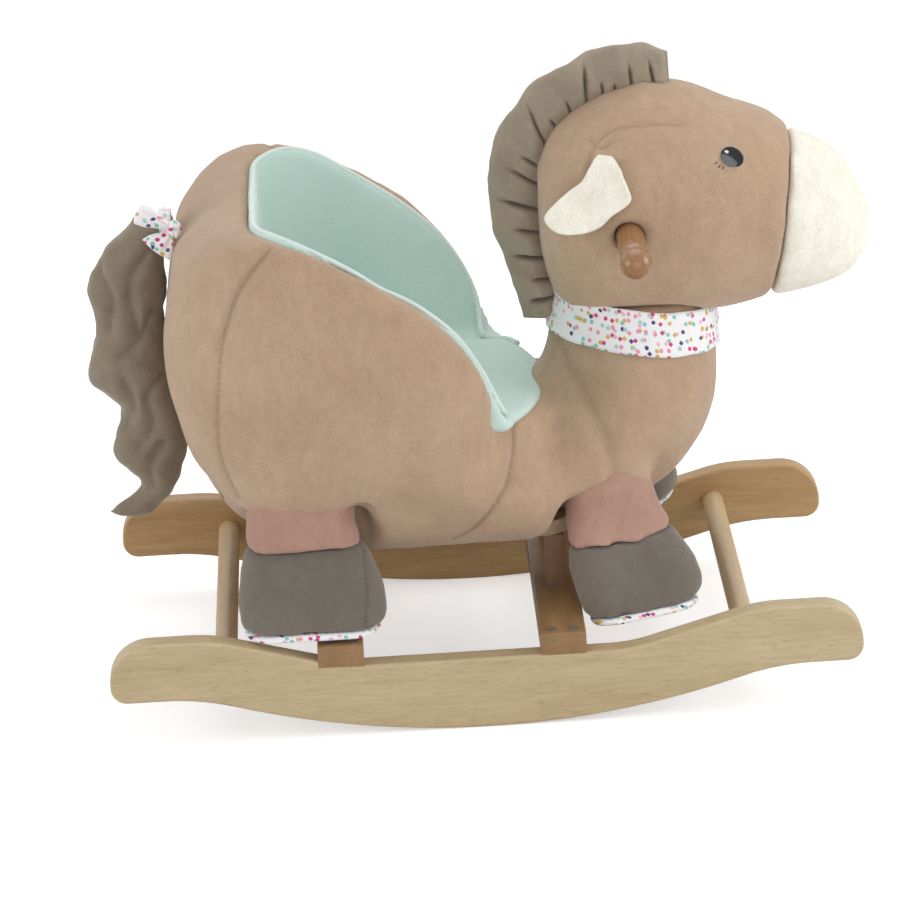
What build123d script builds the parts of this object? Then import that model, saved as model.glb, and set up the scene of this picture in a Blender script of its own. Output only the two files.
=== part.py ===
from build123d import *
import math
import os

# A plush rocking horse on a wooden rocker base, in millimetres.
# +X is where the horse looks, +Y its left side, +Z up.
# The origin is on the floor, under the middle of the runners.

# Wooden base
base_width = 327.0
rocker_length = 600.0
rocker_thickness = 18.0
rocking_radius = 695.0
runner_blend = 200.0
tip_underside = 38.5
tip_top = 88.5
tip_lower_round = 13.0
tip_upper_round = 33.0
deck_height = 60.0
rise_start = 114.5
rise_end = 217.5
rise_blend = 125.0
board_edge_round = 2.5
dowel_diameter = 18.0
dowel_x = 208.0
dowel_height = 59.0
dowel_seat = 8.0
slat_width = 36.5
slat_thickness = 18.0
front_slat_x = 61.0
rear_slat_x = -116.0
slat_edge_round = 1.5

# Screws and bolts
screw_diameter = 4.5
screw_head_diameter = 8.5
screw_length = 40.0
screw_spacing = 18.0
screw_clearance = 0.1
bolt_diameter = 6.0
bolt_head_diameter = 12.0
bolt_head_height = 4.0
bolt_grip = 8.0

# Wooden frame inside the plush
riser_height = 46.0
riser_length = 16.0
riser_width = 26.0
riser_y = 58.0
base_board_thickness = 12.0
base_board_back = -142.0
base_board_front = 84.0
base_board_width = 142.0
base_board_step = 74.0
base_board_tongue = 60.0
back_board_thickness = 9.0
back_board_width = 170.0
back_board_height = 215.0
back_board_x = -205.0
back_board_foot = 40.0
post_depth = 28.0
post_width = 38.0
post_foot_x = 69.0
post_above_handle = 20.0

# Handle
handle_x = 131.0
handle_height = 376.0
handle_span = 315.0
bar_diameter = 16.0
bar_length = 208.0
grip_diameter = 22.0
grip_length = 80.0
grip_neck_diameter = 17.0
ball_diameter = 25.5
fit_clearance = 0.05

# Plush body. Heights are counted from the underside of the belly.
belly_gap = 34.0
body_back = -241.0
body_half_width = 160.0
seat_height = 126.0
seat_pad_thickness = 30.0
seat_nose_x = 62.0
seat_nose_half_width = 96.0
seat_rim = 9.0
seat_crown = 4.0
rim_height = 297.0
lining_thickness = 4.0
wing_split_x = -112.0
soft_gap = 0.4

# Head, ears and mane
head_width = 164.0
ear_length = 78.0
ear_width = 62.0
ear_thickness = 4.5
ear_x = 110.0
ear_height = 410.0
ear_stand = 75.0
mane_thickness = 15.0
eye_x = 215.0
eye_height = 430.0
eye_length = 19.0
eye_width = 12.5
eye_relief = 1.6

# Scarf
scarf_height = 33.0
scarf_thickness = 3.5

# Legs
leg_thickness = 50.0
sole_thickness = 6.0
leg_swing = 20.0
pocket_margin = 6.0

slat_top = deck_height + slat_thickness
board_bottom = slat_top + riser_height
board_top = board_bottom + base_board_thickness
belly = slat_top + belly_gap
seat_top = belly + seat_height
seat_bottom = seat_top - seat_pad_thickness
rim_top = belly + rim_height
rocker_inner = base_width / 2 - rocker_thickness
rocker_middle = base_width / 2 - rocker_thickness / 2
cut_reach = 600.0

made = {}


def keep(name, part):
    part.label = name
    made[name] = part


def both_sides(name, right_part):
    keep("right_" + name, right_part)
    with BuildPart() as left:
        mirror(right_part, about=Plane.XZ)
    keep("left_" + name, left.part)


def corners(sketch, x, y):
    return sketch.vertices().filter_by(lambda v: math.hypot(abs(v.X) - x, v.Y - y) < 0.01)


# Rocker boards: a runner arc, turned-up tips and a low deck for the slats.
half_length = rocker_length / 2
arc_end = math.sqrt(rocking_radius**2 - (rocking_radius - tip_underside) ** 2)
with BuildPart() as rocker:
    with BuildSketch(Plane.XZ.offset(rocker_inner)) as board:
        with BuildLine():
            ThreePointArc((-arc_end, tip_underside), (0, 0), (arc_end, tip_underside))
            right_outline = [
                (arc_end, tip_underside),
                (half_length, tip_underside),
                (half_length, tip_top),
                (rise_end, tip_top),
                (rise_start, deck_height),
            ]
            left_outline = [(-x, z) for x, z in reversed(right_outline)]
            Polyline(*right_outline, *left_outline)
        make_face()
        fillet(corners(board, arc_end, tip_underside), radius=runner_blend)
        fillet(corners(board, half_length, tip_underside), radius=tip_lower_round)
        fillet(corners(board, half_length, tip_top), radius=tip_upper_round)
        fillet(corners(board, rise_end, tip_top), radius=rise_blend)
        fillet(corners(board, rise_start, deck_height), radius=rise_blend)
    extrude(amount=rocker_thickness)
    fillet(rocker.faces().filter_by(Axis.Y).edges(), radius=board_edge_round)
    for slat_x in (front_slat_x, rear_slat_x):
        with Locations((slat_x, -rocker_middle, deck_height)):
            Box(slat_width, rocker_thickness, slat_thickness * 3,
                align=(Align.CENTER, Align.CENTER, Align.MIN), mode=Mode.SUBTRACT)
        for offset_x in (-screw_spacing / 2, screw_spacing / 2):
            with Locations((slat_x + offset_x, -rocker_middle, slat_top - screw_length - screw_clearance)):
                Cylinder(screw_diameter / 2 + screw_clearance, screw_length,
                         align=(Align.CENTER, Align.CENTER, Align.MIN), mode=Mode.SUBTRACT)
    for end_x in (-dowel_x, dowel_x):
        with Locations(Location((end_x, -rocker_inner, dowel_height), (90, 0, 0))):
            Cylinder(dowel_diameter / 2, 2 * dowel_seat, mode=Mode.SUBTRACT)
both_sides("rocker", rocker.part)

# Dowels let into the inner faces of the rockers.
for name, end_x in (("front_dowel", dowel_x), ("rear_dowel", -dowel_x)):
    with BuildPart() as dowel:
        with Locations(Location((end_x, 0, dowel_height), (90, 0, 0))):
            Cylinder(dowel_diameter / 2, 2 * (rocker_inner + dowel_seat))
    keep(name, dowel.part)


def bolt_spots(slat_x):
    return [(slat_x, -riser_y), (slat_x, riser_y)]


# Slats across the rockers, countersunk for their screws and counterbored below for the riser bolts.
for name, slat_x in (("front_slat", front_slat_x), ("rear_slat", rear_slat_x)):
    with BuildPart() as slat:
        with Locations((slat_x, 0, deck_height)):
            Box(slat_width, base_width, slat_thickness, align=(Align.CENTER, Align.CENTER, Align.MIN))
        fillet(slat.edges().filter_by(Axis.Y), radius=slat_edge_round)
        screw_spots = [(slat_x + dx, side * rocker_middle)
                       for side in (-1, 1) for dx in (-screw_spacing / 2, screw_spacing / 2)]
        with Locations(*[(x, y, slat_top) for x, y in screw_spots]):
            CounterSinkHole(screw_diameter / 2 + screw_clearance, screw_head_diameter / 2 + screw_clearance,
                            counter_sink_angle=90)
        with Locations(*[Location((x, y, deck_height), (180, 0, 0)) for x, y in bolt_spots(slat_x)]):
            CounterBoreHole(bolt_diameter / 2 + screw_clearance, bolt_head_diameter / 2 + screw_clearance,
                            bolt_head_height)
    keep(name, slat.part)

# Countersunk screws, slats to rockers.
head_drop = (screw_head_diameter - screw_diameter) / 2
with BuildPart() as slat_screws:
    for slat_x in (front_slat_x, rear_slat_x):
        for offset_x in (-screw_spacing / 2, screw_spacing / 2):
            for side in (-1, 1):
                centre = (slat_x + offset_x, side * rocker_middle)
                with Locations((*centre, slat_top - head_drop / 2)):
                    Cone(screw_diameter / 2, screw_head_diameter / 2, head_drop)
                with Locations((*centre, slat_top - screw_length)):
                    Cylinder(screw_diameter / 2, screw_length - head_drop,
                             align=(Align.CENTER, Align.CENTER, Align.MIN))
keep("slat_screws", slat_screws.part)

# Riser blocks lift the seat's frame off the slats.
with BuildPart() as risers:
    for slat_x in (front_slat_x, rear_slat_x):
        with Locations(*[(x, y, slat_top) for x, y in bolt_spots(slat_x)]):
            Box(riser_length, riser_width, riser_height, align=(Align.CENTER, Align.CENTER, Align.MIN))
    with Locations(*[(x, y, slat_top) for s in (front_slat_x, rear_slat_x) for x, y in bolt_spots(s)]):
        Cylinder(bolt_diameter / 2 + screw_clearance, riser_height,
                 align=(Align.CENTER, Align.CENTER, Align.MIN), mode=Mode.SUBTRACT)
keep("riser_blocks", risers.part)

# Bolts from below, through slat and riser into the base board.
bolt_top = board_bottom + bolt_grip
with BuildPart() as bolts:
    for slat_x in (front_slat_x, rear_slat_x):
        with Locations(*[(x, y, deck_height) for x, y in bolt_spots(slat_x)]):
            Cylinder(bolt_head_diameter / 2, bolt_head_height, align=(Align.CENTER, Align.CENTER, Align.MIN))
            Cylinder(bolt_diameter / 2, bolt_top - deck_height, align=(Align.CENTER, Align.CENTER, Align.MIN))
keep("riser_bolts", bolts.part)

# Plywood base board with a rounded outline.
board_length = base_board_step - base_board_back
board_mid = (base_board_step + base_board_back) / 2
post_screw_spots = [(post_foot_x, -post_width / 4), (post_foot_x, post_width / 4)]
post_screw_length = 3 * base_board_thickness
with BuildPart() as base_board:
    with BuildSketch(Plane.XY.offset(board_bottom)):
        with Locations((board_mid, 0)):
            RectangleRounded(board_length, base_board_width, 20)
        with Locations((base_board_front, 0)):
            Rectangle(base_board_front, base_board_tongue, align=(Align.MAX, Align.CENTER))
    extrude(amount=base_board_thickness)
    with Locations(*[(x, y, board_bottom) for s in (front_slat_x, rear_slat_x) for x, y in bolt_spots(s)]):
        Cylinder(bolt_diameter / 2 + screw_clearance, bolt_grip + screw_clearance,
                 align=(Align.CENTER, Align.CENTER, Align.MIN), mode=Mode.SUBTRACT)
    with Locations(*[(x, y, board_bottom) for x, y in post_screw_spots]):
        Cylinder(screw_diameter / 2 + screw_clearance, base_board_thickness,
                 align=(Align.CENTER, Align.CENTER, Align.MIN), mode=Mode.SUBTRACT)
keep("base_board", base_board.part)

# Neck post leaning forward from the base board to the handle.
post_rise = handle_height + post_above_handle - board_top
lean = (handle_x - post_foot_x) / (handle_height - board_top)
post_line = Vector(lean, 0, 1)
with BuildPart() as neck_post:
    with BuildSketch(Plane.XY.offset(board_top)):
        with Locations((post_foot_x, 0)):
            Rectangle(post_depth, post_width)
    extrude(amount=post_rise, dir=post_line)
    with Locations(Location((handle_x, 0, handle_height), (90, 0, 0))):
        Cylinder(bar_diameter / 2 + fit_clearance, 2 * post_width, mode=Mode.SUBTRACT)
    with Locations(*[(x, y, board_top) for x, y in post_screw_spots]):
        Cylinder(screw_diameter / 2 + screw_clearance, post_screw_length - base_board_thickness,
                 align=(Align.CENTER, Align.CENTER, Align.MIN), mode=Mode.SUBTRACT)
keep("neck_post", neck_post.part)

# Screws up through the base board into the post.
with BuildPart() as post_screws:
    with Locations(*[(x, y, board_bottom) for x, y in post_screw_spots]):
        Cylinder(screw_diameter / 2, post_screw_length - screw_clearance,
                 align=(Align.CENTER, Align.CENTER, Align.MIN))
keep("post_screws", post_screws.part)

# Cross bar that carries the two grips.
with BuildPart() as handle_bar:
    with Locations(Location((handle_x, 0, handle_height), (90, 0, 0))):
        Cylinder(bar_diameter / 2, bar_length)
keep("handle_bar", handle_bar.part)

# Turned grip: a straight peg, a cut neck and a ball, bored for the bar.
ball_y = -(handle_span - ball_diameter) / 2
neck_y = ball_y + math.sqrt(ball_diameter**2 - grip_neck_diameter**2) / 2
with BuildPart() as grip:
    with BuildSketch(Plane((handle_x, 0, handle_height), x_dir=(1, 0, 0), z_dir=(0, 0, 1))):
        with BuildLine():
            bore = bar_diameter / 2 + fit_clearance
            mouth_y = ball_y + grip_length
            Polyline(
                (0, ball_y - ball_diameter / 2),
                (0, -bar_length / 2),
                (bore, -bar_length / 2),
                (bore, mouth_y),
                (grip_diameter / 2, mouth_y),
                (grip_diameter / 2, neck_y + grip_diameter / 3),
                (grip_neck_diameter / 2, neck_y),
            )
            ThreePointArc(
                (grip_neck_diameter / 2, neck_y),
                (ball_diameter / 2, ball_y),
                (0, ball_y - ball_diameter / 2),
            )
        make_face()
    revolve(axis=Axis((handle_x, 0, handle_height), (0, 1, 0)))
both_sides("grip", grip.part)

# Outer form of the seat: height above the belly, back, front, half width, corner radius.
body_front = 31.0
outer_sections = [
    (0, body_back + 140, body_front + 17, body_half_width - 116, 42),
    (15, body_back + 76, body_front + 65, body_half_width - 75, 64),
    (39, body_back + 43, body_front + 73, body_half_width - 46, 82),
    (66, body_back + 27, body_front + 45, body_half_width - 29, 84),
    (98, body_back + 15, body_front + 4, body_half_width - 14, 86),
    (140, body_back + 5, body_front, body_half_width - 4, 86),
    (190, body_back, body_front, body_half_width, 88),
    (245, body_back + 8, body_front, body_half_width - 6, 88),
    (rim_height + 8, body_back + 25, body_front, body_half_width - 24, 84),
]
with BuildPart() as outer_form:
    for height, back, front, half_width, corner in outer_sections:
        with BuildSketch(Plane.XY.offset(belly + height)):
            with Locations(((back + front) / 2, 0)):
                RectangleRounded(front - back, 2 * half_width, corner)
    loft()

# The hollow that the child sits in, from under the seat pad to above the rim.
hollow_front = body_front + 60
hollow_sections = [
    (seat_height - seat_pad_thickness, body_back + 98, body_half_width - 56, 50),
    (seat_height + 50, body_back + 84, body_half_width - 42, 56),
    (seat_height + 120, body_back + 76, body_half_width - 30, 62),
    (rim_height + 10, body_back + 74, body_half_width - 20, 66),
]


def hollow_form(inset):
    with BuildPart() as form:
        for height, back, half_width, corner in hollow_sections:
            with BuildSketch(Plane.XY.offset(belly + height)):
                with Locations(((back + inset + hollow_front) / 2, 0)):
                    RectangleRounded(hollow_front - back - inset, 2 * (half_width - inset), corner - inset)
        loft()
    return form.part


hollow = hollow_form(0)
lined_hollow = hollow_form(lining_thickness)

# The rim runs level round the back, then sweeps down to the front of the wings.
with BuildPart() as above_rim:
    with BuildSketch(Plane.XZ.offset(-cut_reach / 2)):
        with BuildLine():
            rim_line = Spline(
                (body_back - 20, rim_top - 74),
                (body_back + 12, rim_top - 34),
                (body_back + 36, rim_top - 14),
                (body_back + 69, rim_top - 3),
                (body_back + 103, rim_top - 5),
                (body_back + 173, rim_top - 42),
                (body_front - 31, rim_top - 107),
                (body_front - 3, rim_top - 175),
                (body_front + 8, rim_top - 215),
                tangents=((0.5, 1), (0.15, -1)),
            )
            Polyline(
                rim_line @ 1,
                (hollow_front + 40, rim_top - 215),
                (hollow_front + 40, rim_top + 100),
                (body_back - 20, rim_top + 100),
                rim_line @ 0,
            )
        make_face()
    extrude(amount=cut_reach)

# Chest and neck: one column from the belly to the head.
chest_sections = [
    (17, 20, 104, 46),
    (25, 0, 132, 66),
    (44, -20, 166, 82),
    (70, -12, 188, 84),
    (100, 20, 201, 80),
    (126, 52, 203, 74),
    (152, 65, 203, 64),
    (178, 70, 203, 57),
    (205, 74, 198, 54),
]


def chest_form(grow):
    with BuildPart() as form:
        for height, back, front, half_width in chest_sections:
            with BuildSketch(Plane.XY.offset(belly + height)):
                with Locations(((back + front) / 2, 0)):
                    Ellipse((front - back) / 2 + grow, half_width + grow)
        loft()
    return form.part


chest = chest_form(0)

# Head: upright elliptical sections from the nape to the nose, given as x, underside, top and half width.
head_base = belly + 170
head_sections = [
    (63, 62, 133, 0.40),
    (70, 34, 150, 0.62),
    (82, 14, 168, 0.80),
    (104, 4, 184, 0.94),
    (140, 0, 197, 1.0),
    (180, 2, 197, 0.98),
    (220, 9, 179, 0.86),
    (256, 15, 161, 0.73),
    (288, 21, 142, 0.62),
    (304, 26, 131, 0.53),
    (316, 34, 114, 0.42),
    (325, 49, 96, 0.28),
    (330, 63, 83, 0.13),
]


def head_shape(grow):
    with BuildPart() as form:
        for x, underside, top, share in head_sections:
            with BuildSketch(Plane.YZ.offset(x)):
                with Locations((0, head_base + (underside + top) / 2)):
                    Ellipse(share * head_width / 2 + grow, (top - underside) / 2 + grow)
        loft()
    return form.part


head_form = head_shape(0)


# Legs: name, hip, foot centre, widths down the leg, foot's tilt outwards and the leg's lean forward in degrees.
hip_height = belly + 66
rear_leg = {
    "hip": (-141, -104, hip_height),
    "foot": (-139, -138, slat_top + 3),
    "cuff": 0.31,
    "widths": (88, 95, 120, 106),
    "toe": 3,
    "foot_tilt": 0,
    "lean": 0,
}
front_leg = {
    "hip": (107, -70, hip_height - 22),
    "foot": (128, -125, slat_top - 5),
    "cuff": 0.34,
    "widths": (74, 86, 102, 84),
    "toe": 3,
    "foot_tilt": 12,
    "lean": 9,
}


def leg_planes(leg):
    hip = Vector(*leg["hip"])
    foot = Vector(*leg["foot"])
    planes = []
    for share, turn in ((0, 0), (leg["cuff"], 0.3), (0.78, 0.8), (1, 1)):
        along = Vector(1, 0, 0).rotate(Axis.Y, -leg["lean"])
        down = Vector(0, 0, -1).rotate(Axis.Y, -leg["lean"]).rotate(Axis.X, -turn * leg["foot_tilt"])
        planes.append(Plane(hip + (foot - hip) * share, x_dir=along, z_dir=down))
    return planes


def leg_form(leg):
    planes = leg_planes(leg)
    shifts = (0, 0, leg["toe"], leg["toe"] / 2)
    with BuildPart() as form:
        for plane, width, shift in zip(planes, leg["widths"], shifts):
            with BuildSketch(plane):
                with Locations((shift, 0)):
                    SlotOverall(width, leg_thickness)
        loft()
        with BuildSketch(planes[0]):
            SlotOverall(leg["widths"][0], leg_thickness)
        extrude(amount=-leg_thickness / 2)
        fillet(form.faces().sort_by(Axis.Z)[-1].edges(), radius=0.48 * leg_thickness)
    return form.part


# A pocket in the body that clears the root of a leg from rest to the end of its swing.
def leg_pocket(leg):
    hip = leg_planes(leg)[0]
    reach = 2 * leg_thickness
    radius = leg_thickness / 2 + soft_gap + 0.01 * leg_thickness
    drop_y = leg["foot"][1] - leg["hip"][1]
    drop_z = leg["foot"][2] - leg["hip"][2]
    down = Vector(drop_y, drop_z, 0).normalized()
    inner = Vector(radius, 0, 0)
    outer = Vector(-radius, 0, 0).rotate(Axis.Z, -leg_swing)
    with BuildPart() as pocket:
        with BuildSketch(Plane(hip.origin + hip.x_dir * leg["toe"], x_dir=(0, 1, 0), z_dir=hip.x_dir)):
            Circle(radius)
            with BuildLine():
                Polyline(inner, inner + down * reach, outer + down.rotate(Axis.Z, -leg_swing) * reach,
                         outer, (0, 0), close=True)
            make_face()
        extrude(amount=leg["widths"][1] / 2 + pocket_margin, both=True)
    return pocket.part


pockets = []
for leg in (rear_leg, front_leg):
    pocket = leg_pocket(leg)
    pockets += [pocket, mirror(pocket, about=Plane.XZ)]
frame_names = ("riser_blocks", "riser_bolts", "base_board", "neck_post", "post_screws")
frame_parts = [made[name] for name in frame_names]
with BuildPart() as frame_room:
    add(frame_parts)

# Plywood board inside the backrest.
with BuildPart() as back_board:
    with BuildSketch(Plane.YZ.offset(back_board_x)):
        with Locations((0, seat_bottom - back_board_foot + back_board_height / 2)):
            RectangleRounded(back_board_width, back_board_height, 30)
    extrude(amount=back_board_thickness)
keep("back_board", back_board.part)

# Torso: the stuffed belly and rump below the seat.
with BuildPart() as torso:
    add(outer_form.part)
    split(bisect_by=Plane.XY.offset(seat_bottom), keep=Keep.BOTTOM)
    add(pockets, mode=Mode.SUBTRACT)
    add([frame_room.part, back_board.part], mode=Mode.SUBTRACT)
keep("torso", torso.part.solids().sort_by(SortBy.VOLUME)[-1])

# Backrest and wings: the wall of the seat, parted at two upright seams.
with BuildPart() as wall:
    add(outer_form.part)
    split(bisect_by=Plane.XY.offset(seat_bottom), keep=Keep.TOP)
    add([hollow, above_rim.part], mode=Mode.SUBTRACT)
    add(pockets, mode=Mode.SUBTRACT)
with BuildPart() as backrest:
    add(wall.part)
    split(bisect_by=Plane.YZ.offset(wing_split_x), keep=Keep.BOTTOM)
    add(back_board.part, mode=Mode.SUBTRACT)
with BuildPart() as wing:
    add(wall.part)
    split(bisect_by=Plane.YZ.offset(wing_split_x), keep=Keep.TOP)
    split(bisect_by=Plane.XZ, keep=Keep.TOP)
both_sides("wing", wing.part.solids().sort_by(SortBy.VOLUME)[-1])
keep("backrest", backrest.part)

# Seat lining on the inside of the wall, and the seat pad with its nose between the wings.
with BuildPart() as lining:
    add(hollow)
    add(lined_hollow, mode=Mode.SUBTRACT)
    add(above_rim.part, mode=Mode.SUBTRACT)
    split(bisect_by=Plane.XY.offset(seat_bottom), keep=Keep.TOP)
    split(bisect_by=Plane.YZ.offset(body_front), keep=Keep.BOTTOM)
keep("seat_lining", lining.part)


def nose_outline(grow):
    half_width = seat_nose_half_width + grow
    with BuildSketch() as outline:
        with BuildLine():
            arc = ThreePointArc((body_front, half_width), (seat_nose_x + grow, 0), (body_front, -half_width))
            Polyline(arc @ 1, (body_front - 40, -half_width), (body_front - 40, half_width), arc @ 0)
        make_face()
    return outline.sketch


with BuildPart() as seat_pad:
    add(lined_hollow)
    split(bisect_by=Plane.XY.offset(seat_top), keep=Keep.BOTTOM)
    split(bisect_by=Plane.YZ.offset(body_front), keep=Keep.BOTTOM)
    with BuildSketch(Plane.XY.offset(seat_bottom)):
        add(nose_outline(0))
    extrude(amount=seat_pad_thickness)
keep("seat_pad", seat_pad.part)

# Chest and neck, trimmed to the torso, the seat pad and the wings.
with BuildPart() as neck:
    add(chest)
    split(bisect_by=Plane.XY.offset(head_base + 26), keep=Keep.BOTTOM)
    with BuildSketch(Plane.XY.offset(seat_bottom - seat_pad_thickness)):
        add(nose_outline(seat_rim))
    extrude(amount=2 * seat_pad_thickness - seat_crown)
    add([outer_form.part, seat_pad.part, lining.part], mode=Mode.SUBTRACT)
    add(pockets, mode=Mode.SUBTRACT)
    add(frame_parts, mode=Mode.SUBTRACT)
keep("neck", neck.part.solids().sort_by(SortBy.VOLUME)[-1])

# Head and muzzle, parted at a sloping seam.
muzzle_seam = Plane((258, 0, head_base + 98), z_dir=(0.99, 0, -0.139))
with BuildPart() as handle_room:
    with Locations(Location((handle_x, 0, handle_height), (90, 0, 0))):
        Cylinder(grip_diameter / 2 + soft_gap, 2 * cut_reach / 3)
with BuildPart() as head:
    add(head_form)
    split(bisect_by=muzzle_seam, keep=Keep.BOTTOM)
    add([made["neck"], made["neck_post"], handle_room.part], mode=Mode.SUBTRACT)
keep("head", head.part)
with BuildPart() as muzzle:
    add(head_form)
    split(bisect_by=muzzle_seam, keep=Keep.TOP)
keep("muzzle", muzzle.part)

# Mane: a ruffle that stands on the head's middle seam, from the forehead to the nape.
with BuildPart() as mane:
    with BuildSketch(Plane.XZ.offset(-mane_thickness / 2)):
        with BuildLine():
            crest = Spline(
                (170, head_base + 222),
                (128, head_base + 229),
                (72, head_base + 205),
                (32, head_base + 154),
                (25, head_base + 84),
                (47, head_base + 8),
            )
            Polyline(crest @ 1, (100, head_base + 20), (150, head_base + 150), crest @ 0)
        make_face()
    extrude(amount=mane_thickness)
    add([head_form, chest], mode=Mode.SUBTRACT)
keep("mane", mane.part)

# Scarf: a band round the neck, tucked up under the head and lower at the throat.
scarf_edge = Plane((137, 0, head_base - 10), z_dir=(0.157, 0, 0.988))
with BuildPart() as scarf:
    add(chest_form(scarf_thickness))
    split(bisect_by=scarf_edge.offset(scarf_height), keep=Keep.BOTTOM)
    split(bisect_by=scarf_edge, keep=Keep.TOP)
    add([chest, head_form, mane.part], mode=Mode.SUBTRACT)
keep("scarf", scarf.part)

# Eyes: low oval domes on the head.
with BuildPart() as eye:
    with BuildSketch(Plane.XZ.offset(head_width / 8)):
        with Locations(Location((eye_x, eye_height), -28)):
            Ellipse(eye_length / 2, eye_width / 2)
    extrude(amount=head_width / 2)
    add(head_shape(eye_relief), mode=Mode.INTERSECT)
    add(head_form, mode=Mode.SUBTRACT)
both_sides("eye", eye.part)

# Ears: a plush leaf and its lining, hanging from a folded root beside the crown.
ear_plane = Plane((ear_x, -ear_stand, ear_height), x_dir=(1, -0.12, 0), z_dir=(-0.12, -1, 0.3))
root_width = 0.3 * ear_width
root_top = 0.43 * ear_length


def ear_outline(inset):
    across = ear_width / 2 - inset
    down = ear_length / 2 - inset
    with BuildSketch() as outline:
        with BuildLine():
            Spline((0.05 * across, 0.85 * down), (0.6 * across, 0.4 * down), (0.72 * across, -0.25 * down),
                   (-0.05 * across, -0.8 * down), (-1.05 * across, -0.85 * down), (-1.4 * across, -0.45 * down),
                   (-0.8 * across, 0.1 * down), (-0.3 * across, 0.45 * down), periodic=True)
        make_face()
    return outline.sketch


with BuildPart() as ear:
    with BuildSketch(ear_plane):
        add(ear_outline(0))
        with Locations((0, root_top)):
            Rectangle(root_width, ear_thickness, align=(Align.CENTER, Align.MAX))
    extrude(amount=ear_thickness / 2)
    with BuildSketch(ear_plane):
        with Locations((0, root_top)):
            Rectangle(root_width, ear_thickness, align=(Align.CENTER, Align.MAX))
    extrude(amount=-head_width / 6)
    add(head_shape(soft_gap), mode=Mode.SUBTRACT)
both_sides("ear", ear.part.solids().sort_by(SortBy.VOLUME)[-1])
with BuildPart() as ear_lining:
    with BuildSketch(ear_plane.offset(ear_thickness / 2)):
        add(ear_outline(1.5))
    extrude(amount=ear_thickness / 2)
both_sides("ear_lining", ear_lining.part)

# Tail: a stuffed, wavy plume that hangs from a short root on the rump.
# Height above the belly, how far its back and its front stand off the rump's rearmost line, half width.
tail_sections = [
    (24, 49, 27, 8),
    (39, 42, 9, 14),
    (58, 34, -2, 19),
    (76, 50, -9, 22),
    (93, 50, -12, 23),
    (114, 41, -9, 22),
    (135, 60, -4, 25),
    (156, 67, 0, 27),
    (183, 58, 1, 26),
    (223, 61, -2, 28),
    (247, 50, -4, 25),
    (265, 35, -7, 20),
    (275, 21, -8, 12),
]
tail_root_height = 270.0
tail_root_diameter = 22.0
with BuildPart() as rump_room:
    add(outer_form.part.moved(Location((-soft_gap, 0, 0))))
with BuildPart() as tail:
    for height, back, front, half_width in tail_sections:
        with BuildSketch(Plane.XY.offset(belly + height)):
            with Locations((body_back - (back + front) / 2, 0)):
                Ellipse((back - front) / 2, half_width)
    loft()
    with Locations(Location((body_back, 0, belly + tail_root_height), (0, 90, 0))):
        Cylinder(tail_root_diameter / 2, 40)
    add(rump_room.part, mode=Mode.SUBTRACT)
keep("tail", tail.part.solids().sort_by(SortBy.VOLUME)[-1])

# Bow: a knot and two loops tied round the tail's root, on the right side.
bow_knot = (body_back + 11, belly + 270)
bow_depth = 11.0
with BuildPart() as bow:
    with BuildSketch(Plane.XZ.offset(tail_root_diameter / 2 + 5)):
        for side in (1, -1):
            with BuildLine():
                loop = [(-2, 3 * side), (-30, 6 * side), (-24, 17 * side), (-8, 23 * side), (0, 7 * side)]
                Polyline(*[(bow_knot[0] + x, bow_knot[1] + z) for x, z in loop], close=True)
            make_face()
        with Locations(bow_knot):
            Circle(6.5)
    extrude(amount=bow_depth)
    with Locations(Location((bow_knot[0] - 8, 0, bow_knot[1]), (0, 90, 0))):
        Cylinder(tail_root_diameter / 2 + 5.5, 8)
    add([rump_room.part, made["tail"]], mode=Mode.SUBTRACT)
keep("tail_bow", bow.part)

# Legs: cuff, hoof and sole, parted across the leg.
for name, leg in (("rear_leg", rear_leg), ("front_leg", front_leg)):
    shape = leg_form(leg)
    planes = leg_planes(leg)
    seam = planes[1]
    sole_top = planes[3].offset(-sole_thickness)
    with BuildPart() as cuff:
        add(shape)
        split(bisect_by=seam, keep=Keep.BOTTOM)
    with BuildPart() as hoof:
        add(shape)
        split(bisect_by=seam, keep=Keep.TOP)
        split(bisect_by=sole_top, keep=Keep.BOTTOM)
    with BuildPart() as sole:
        add(shape)
        split(bisect_by=sole_top, keep=Keep.TOP)
    both_sides(name + "_cuff", cuff.part)
    both_sides(name + "_hoof", hoof.part)
    both_sides(name + "_sole", sole.part)

os.makedirs("parts", exist_ok=True)
for name, part in made.items():
    part.label = name
    export_step(part, "parts/" + name + ".step")
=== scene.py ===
import math
import bpy
import bmesh
from mathutils import Matrix, Vector, noise
from mathutils.bvhtree import BVHTree
from mathutils.kdtree import KDTree


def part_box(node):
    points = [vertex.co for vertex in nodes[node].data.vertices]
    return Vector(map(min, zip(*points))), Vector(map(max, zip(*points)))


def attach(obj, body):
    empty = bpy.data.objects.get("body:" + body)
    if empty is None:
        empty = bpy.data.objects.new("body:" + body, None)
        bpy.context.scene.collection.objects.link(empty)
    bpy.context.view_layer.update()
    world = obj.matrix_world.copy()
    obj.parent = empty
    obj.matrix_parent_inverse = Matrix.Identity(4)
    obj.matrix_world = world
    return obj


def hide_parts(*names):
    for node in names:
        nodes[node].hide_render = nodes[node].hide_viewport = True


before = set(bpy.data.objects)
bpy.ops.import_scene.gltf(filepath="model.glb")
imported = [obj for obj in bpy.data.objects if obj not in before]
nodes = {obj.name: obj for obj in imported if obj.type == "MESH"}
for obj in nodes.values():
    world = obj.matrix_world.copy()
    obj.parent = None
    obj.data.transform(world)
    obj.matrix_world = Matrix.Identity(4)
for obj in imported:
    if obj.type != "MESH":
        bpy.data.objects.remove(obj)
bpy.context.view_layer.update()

scene = bpy.context.scene
scene.view_settings.view_transform = "Standard"
weldGap = 0.00005  # joins the loose triangles of a solid's mesh
farOff = 0.6  # starts a level ray outside the horse


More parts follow.
